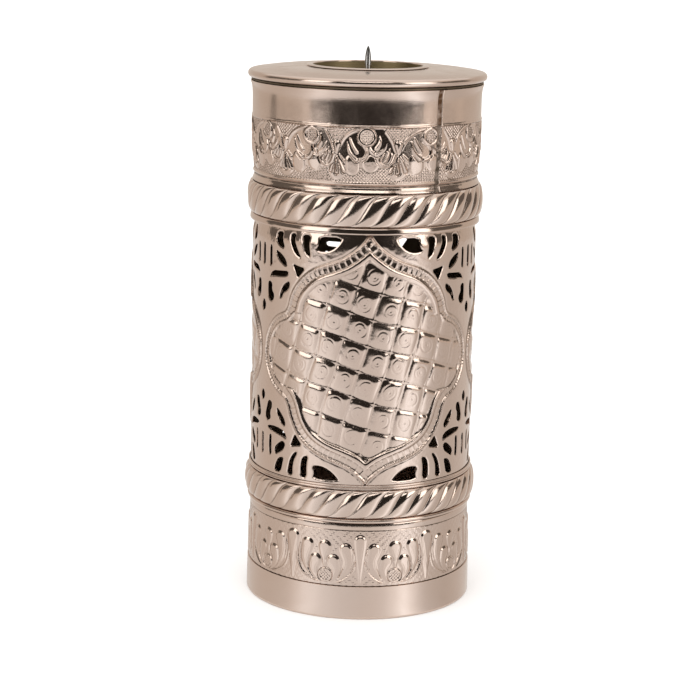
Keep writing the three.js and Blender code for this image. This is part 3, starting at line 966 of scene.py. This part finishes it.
def no_seam(degrees):
    return np.zeros(degrees.shape), np.zeros(degrees.shape)


def lapped_seam(degrees):
    """The soldered joint of the upper band by azimuth: its height and how much solder shows."""
    across = ((degrees - SEAM_AZIMUTH + 180) % 360 - 180) * math.radians(1) * BODY_R
    solder = smoothstep(SOLDER_HALF + 0.15, SOLDER_HALF - 0.15, np.abs(across))
    lap = LAP_HEIGHT * bell(across - LAP_OFFSET, 0.4)
    return lap - SOLDER_SINK * solder, solder


def relief_band(name, below, face, above, inner, place, pattern, span, lines, grime, seam=no_seam):
    """A turned band with a relief on the face between its first and last height. The parts of
    the section list (radius, height) with the metal on their left; lines adds turned lines, and
    seam an upright joint with its solder on all but the inner part."""
    low, high = face[0][1], face[-1][1]
    below, face, above, inner = (np.array(part, float) for part in (below, face, above, inner))
    field = np.linspace(low, high, int((high - low) / BAND_ROW) // QUICK_COARSE)
    field_r = np.interp(field, face[:, 1], face[:, 0]) + lines(field)
    angle = azimuths(BAND_COLUMNS)
    across = place(np.degrees(angle))
    read = sampled(pattern, (span[0], low), (span[1], high), BAND_STEP, 5)
    grid_x, grid_z = np.broadcast_arrays(across, field[:, None])
    height, dirt = read(grid_x, grid_z)
    dirt = grime * np.maximum(dirt, smoothstep(0.1, 0.3, -lines(field))[:, None])

    def plain(part, column):
        return np.repeat(part[:, column : column + 1], BAND_COLUMNS, 1)

    radii = np.concatenate([plain(below, 0), field_r[:, None] + height, plain(above, 0), plain(inner, 0)])
    heights = np.concatenate([plain(below, 1), grid_z, plain(above, 1), plain(inner, 1)])
    cavity = np.zeros(radii.shape)
    cavity[len(below) : len(below) + len(field)] = dirt
    wall = slice(len(below), -len(inner))
    seam_height, solder = seam(np.degrees(angle))
    radii[wall] += seam_height
    cavity[wall] = np.maximum(cavity[wall], solder)
    return ring_mesh(name, radii, heights, cavity)


def second_above(piece, height):
    """The second material on the faces above a height."""
    above = face_centres(piece)[:, 2] > height
    piece.data.polygons.foreach_set("material_index", above.astype(np.int32))


def make_lower_band():
    def lines(z):
        return -0.3 * bell(z - LOWER_LINE_Z, 0.3)

    radius, bottom, top = node_reach("lower_embossed_band")
    bottom, top = bottom + 0.05, top - 0.05
    base = node_reach("foot_ring")[2] + GAP
    head = node_reach("lower_collar")[1] - GAP
    below = [(50.7, bottom), (50.7, base), (51.75, base + 0.01)]
    face = [(radius, base + 0.25), (radius - 0.6, head - 2.05)]
    above = [(51.35, head - 0.35), (51.2, head)]
    inner = [(49.8, head + 0.01), (49.8, top), (48.6, top), (48.6, head - SHEET), (50.0, head - SHEET),
             (50.6, base + SHEET), (49.5, base + SHEET), (49.5, bottom)]
    band = relief_band("lower_band", below, face, above, inner, lower_place,
                       lower_motif, (-LOWER_HALF_MOTIF, LOWER_HALF_MOTIF), lines, 0.5)
    finish_piece(band, RELIEF, "lamp_body", "lower_embossed_band")


def make_upper_band():
    def lines(z):
        beads = 0.5 * bell(z - LOW_BEAD_Z, 0.5) + 0.4 * bell(z - HIGH_BEAD_Z, 0.45)
        flare = 0.5 * smoothstep(195.8, 194, z)
        return beads + flare - 0.4 * bell(z - UPPER_LINE_Z, 0.4)

    mouth, bottom, top = node_reach("upper_embossed_band")
    radius, bottom, base = mouth - 1.0, bottom - 0.05, Z_TUBE[1] + GAP
    below = [(49.8, bottom), (49.8, base), (51.5, base + 0.01)]
    face = [(51.3, base + 0.25), (51.0, 197.5), (radius - 0.02, 208.0), (radius, 211), (radius, 224.4)]
    rim_z = np.linspace(224.8, top - 0.7, 18)
    rim_r = radius + 0.9 * ((rim_z - 222.8) / 15.3) ** 7
    above = [*zip(rim_r, rim_z), (mouth - 0.05, top - 0.3), (mouth - 0.2, top - 0.1),
             (mouth - 0.6, top), (mouth - 1.1, top - 0.05), (mouth - 1.3, top - 0.4)]
    inner = [(mouth - 1.3, top - 0.7), (50.9, 230.5), (50.7, 222.8), (50.6, 208), (50.0, 195),
             (48.6, 195), (48.6, bottom)]
    band = relief_band("upper_band", below, face, above, inner, upper_place,
                       upper_motif, UPPER_SPAN, lines, 1.0, lapped_seam)
    second_above(band, PLAIN_FROM)
    finish_piece(band, [RELIEF, PLATED], "lamp_body", "upper_embossed_band")


make_lower_band()
make_upper_band()


# -------------------- pan, cup and spike

def make_pan():
    rim, seat, top = node_reach("drip_pan_plate")
    bead, foot, hole = 1.8, 50.2, 26.0
    profile = [(foot, seat), (foot + bead, seat)]
    profile += arc(rim - bead, seat + bead, bead, -85, 75, 20)
    profile += [(51.2, top - 1.68), (48, top - 1.15), (44, top - 0.7), (39, top - 0.35),
                (34, top - 0.15), (30, top - 0.02), (28.6, top), (28.35, top - 0.15), (28.1, top)]
    profile += [(hole + 0.3, top), (hole + 0.05, top - 0.2), (hole, top - 1.1), (34, top - 1.3),
                (44, top - 1.9), (foot, top - 3)]
    pan = turned_ring("drip_pan_plate_fine", profile, FINE_COLUMNS)
    finish_piece(pan, PAN_PLATE, "drip_pan", "drip_pan_plate")

    flange, bottom, top = node_reach("locating_ring")
    inner, wall, under = 49.8, 50.6, top - 0.6
    skirt = [(inner, bottom), (wall, bottom), (wall, under), (flange, under), (flange, top),
             (inner, top)]
    ring = turned_ring("locating_skirt", skirt)
    finish_piece(ring, INSIDE, "drip_pan", "locating_ring")


def make_cup():
    lip, floor, top = node_reach("candle_cup")
    hole, wall, lip_z = 2.1, 25.7, top - 0.5
    profile = [(hole, floor), (22.5, floor), (24.4, floor + 0.6), (25.4, floor + 1.9),
               (wall, floor + 3.7), (wall, lip_z)]
    profile += [(lip + 0.05, lip_z), (lip + 0.1, top - 0.44), (lip - 0.1, top - 0.32),
                (lip - 0.5, top - 0.15), (lip - 1.0, top - 0.04), (lip - 1.5, top), (wall - 0.3, top)]
    profile += arc(wall - 0.3, lip_z, 0.5, 95, 180, 6)
    profile += [(wall - 0.8, floor + 3.9), (24.5, floor + 2.5), (23.6, floor + 1.5),
                (22.4, floor + SHEET), (hole, floor + SHEET)]
    cup = turned_ring("candle_cup_fine", profile)
    second_above(cup, lip_z - 0.1)
    finish_piece(cup, [CUP_BRASS, POLISHED], "candle_holder", "candle_cup")

    collar, bottom, tip = node_reach("pricket_spike")
    low = floor + SHEET + GAP
    stud, shaft = 1.75, 1.4
    profile = [(0, bottom), (stud - 0.25, bottom), (stud, bottom + 0.3), (stud, low)]
    profile += [(collar - 0.1, low), (collar, low + 0.2), (collar, low + 1.1), (4.2, low + 1.4),
                (3.1, low + 2), (1.7, low + 2.2), (shaft, low + 2.7)]
    profile += [(shaft, tip - 6), (1.32, tip - 4.7), (1.12, tip - 3.3), (0.8, tip - 1.8),
                (0.4, tip - 0.6), (0, tip)]
    spike = turned_solid("pricket", profile)
    finish_piece(spike, STEEL, "candle_holder", "pricket_spike")


make_pan()
make_cup()

for plain in ("spike_washer", "spike_nut"):
    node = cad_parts[plain]
    node.data.materials.clear()
    node.data.materials.append(STEEL)


# -------------------- floor and studio

def flat_card(name, points, faces, material, reflection_only=True):
    mesh = bpy.data.meshes.new(name)
    mesh.from_pydata([tuple(point) for point in points], [], faces)
    mesh.materials.append(material)
    card = add_object(name, mesh)
    if reflection_only:
        card.visible_camera = False
        card.visible_diffuse = False
        card.visible_shadow = False
    return card


def painted_glow():
    """Light of the colour stored on the mesh."""
    material = bpy.data.materials.new("painted_glow")
    material.use_nodes = True
    tree = material.node_tree
    tree.nodes.clear()
    paint = add_node(tree, "ShaderNodeAttribute", attribute_name="glow")
    feeds = [("Color", paint.outputs["Color"])]
    emission = add_node(tree, "ShaderNodeEmission", feeds, Strength=1.0)
    add_node(tree, "ShaderNodeOutputMaterial", [(0, emission.outputs[0])])
    return material


def painted_card(name, points, colours, material):
    """A card from a grid of points, rows by columns, seen only in reflections."""
    rows, columns = points.shape[:2]
    faces = [
        (r * columns + c, r * columns + c + 1, (r + 1) * columns + c + 1, (r + 1) * columns + c)
        for r in range(rows - 1)
        for c in range(columns - 1)
    ]
    card = flat_card(name, points.reshape(-1, 3), faces, material)
    layer = card.data.color_attributes.new("glow", "FLOAT_COLOR", "POINT")
    painted = np.concatenate([colours, np.ones((rows, columns, 1))], 2)
    layer.data.foreach_set("color", painted.astype(np.float32).ravel())


# How bright the table looks by azimuth: red and blue, green between them.
TABLE_TONES = (
    (-180, 0.85, 0.80), (-140, 0.82, 0.72), (-108, 0.78, 0.66), (-79, 0.86, 0.78),
    (-66, 1.04, 0.98), (-55, 1.32, 1.38), (-46, 1.26, 1.30), (-38, 1.10, 1.12), (-14, 0.95, 0.95),
    (8, 0.94, 0.92), (28, 1.04, 1.03), (40, 1.30, 1.33), (49, 1.62, 1.75), (58, 1.30, 1.32),
    (72, 0.85, 0.82), (100, 0.72, 0.64), (140, 0.82, 0.72), (180, 0.85, 0.80),
)
TABLE_FRONT, TABLE_LIFT = 0.82, 0.001
DARK_HALF = 57
ROOM_R = 1.3
WALL_R = 0.0525
DARK = (0.035, 0.028, 0.022)


def table_tone(azimuth, radius):
    """The tone where the table lies radius from the axis, so that it is the right one for the
    part of the wall that reflects it."""
    turn = np.radians(azimuth)
    wall = turn.copy()
    for _ in range(30):
        wall = (turn + np.arcsin(np.clip(WALL_R / radius * np.sin(wall), -1, 1))) / 2
    azimuth = np.clip(2 * np.degrees(wall), -180, 180)
    tones = np.array(TABLE_TONES)
    red = np.interp(azimuth, tones[:, 0], tones[:, 1])
    blue = np.interp(azimuth, tones[:, 0], tones[:, 2])
    return np.stack([red, (red + blue) / 2, blue], -1)


def table_card(material):
    """The table as the lamp reflects it, with the dark room beyond its front edge."""
    azimuth = np.arange(-180, 181, 3.0)
    angle = np.radians(azimuth)
    in_front = np.abs(azimuth) < DARK_HALF
    edge = np.where(in_front, TABLE_FRONT / np.maximum(np.cos(angle), 0.2), ROOM_R)
    edge = np.minimum(edge, ROOM_R - 0.02)
    ones = np.ones(azimuth.shape)
    radii = [radius * ones for radius in (0.05, 0.06, 0.08, 0.12, 0.2, 0.4)]
    radii += [edge, edge + 0.01, ROOM_R * ones]
    points = [round_axis(r, TABLE_LIFT, angle) for r in radii]
    colours = [table_tone(azimuth, np.maximum(r, WALL_R + 0.0005)) for r in radii[:-2]]
    colours += [np.where(in_front[:, None], DARK, table_tone(azimuth, r)) for r in radii[-2:]]
    painted_card("table_seen_by_lamp", np.array(points), np.array(colours), material)


# The room by azimuth from one edge to the next, and the light of its low, middle and high parts.
ROOM_PARTS = (
    (-180, -112, 0.72, 0.72, 1.0, 1.1),
    (-112, -110, 0.80, 0.16, 0.9, 1.1),
    (-110, -101, 0.22, 0.16, 0.9, 1.1),
    (-101, -63, 0.80, 0.16, 0.9, 1.1),
    (-63, -57, 0.80, 2.2, 1.25, 1.1),
    (-57, -35, 0.03, 2.2, 1.25, 1.1),
    (-35, -26, 0.03, 0.03, 0.5, 0.1),
    (-26, 26, 0.03, 0.03, 2.4, 0.1),
    (26, 37, 0.03, 0.03, 0.5, 0.1),
    (37, 57, 0.03, 2.6, 1.25, 1.1),
    (57, 67, 0.85, 2.6, 1.25, 1.1),
    (67, 112, 0.80, 0.16, 0.9, 1.1),
    (112, 180, 0.72, 0.72, 1.0, 1.1),
)
ROOM_HEIGHTS = (0.0, 0.17, 0.95, 1.5, 2.6)


def room_card(material):
    """The room as the lamp reflects it: two soft boxes with soft edges, a lit strip over the
    camera, and dark between."""
    azimuth, light = [], []
    for start, end, *tones in ROOM_PARTS:
        steps = max(2, int((end - start) / 6))
        soft = min(1.6, (end - start) / 4)
        first = start + soft if start > -180 else start
        last = end - soft if end < 180 else end
        azimuth += list(np.linspace(first, last, steps))
        light += [tones] * steps
    angle = np.radians(azimuth)
    tones = np.array(light)
    rows = [(ROOM_HEIGHTS[0], 0), (ROOM_HEIGHTS[1], 0), (ROOM_HEIGHTS[1] + 0.01, 1),
            (ROOM_HEIGHTS[2], 1), (ROOM_HEIGHTS[2] + 0.05, 2), (ROOM_HEIGHTS[3], 2),
            (ROOM_HEIGHTS[3] + 0.05, 3), (ROOM_HEIGHTS[4], 3)]
    points, colours = [], []
    for height, part in rows:
        points.append(round_axis(np.full(angle.shape, ROOM_R), height, angle))
        level = tones[:, part][:, None]
        warm = np.where(level < 1, (1.0, 0.9, 0.8), (1.0, 0.99, 0.97))
        colours.append(level * warm)
    painted_card("room_seen_by_lamp", np.array(points), np.array(colours), material)


WORLD_LIGHT, SUN_LIGHT = 1.25, 1.1
SUN_SIZE, SUN_TILT, SUN_TURN = 60, 35, -8
FLOOR_HALF = 60


def make_studio():
    world = bpy.data.worlds.new("studio")
    bpy.context.scene.world = world
    world.use_nodes = True
    sky = world.node_tree.nodes["Background"]
    sky.inputs["Color"].default_value = (1.0, 0.99, 0.98, 1)
    sky.inputs["Strength"].default_value = WORLD_LIGHT

    pale, _, shader = node_tree("pale_floor")
    shader.inputs["Base Color"].default_value = (0.86, 0.855, 0.85, 1)
    shader.inputs["Roughness"].default_value = 0.8
    corners = [(FLOOR_HALF * x, FLOOR_HALF * y, 0) for x, y in ((-1, -1), (1, -1), (1, 1), (-1, 1))]
    flat_card("floor", corners, [(0, 1, 2, 3)], pale, reflection_only=False)

    sun = bpy.data.lights.new("floor_light", "SUN")
    sun.energy = SUN_LIGHT
    sun.angle = math.radians(SUN_SIZE)
    sun_object = add_object("floor_light", sun)
    sun_object.rotation_euler = (math.radians(SUN_TILT), 0, math.radians(SUN_TURN))
    sun_object.visible_glossy = False
    glowing = painted_glow()
    table_card(glowing)
    room_card(glowing)


make_studio()
bpy.context.scene.view_settings.view_transform = "Standard"
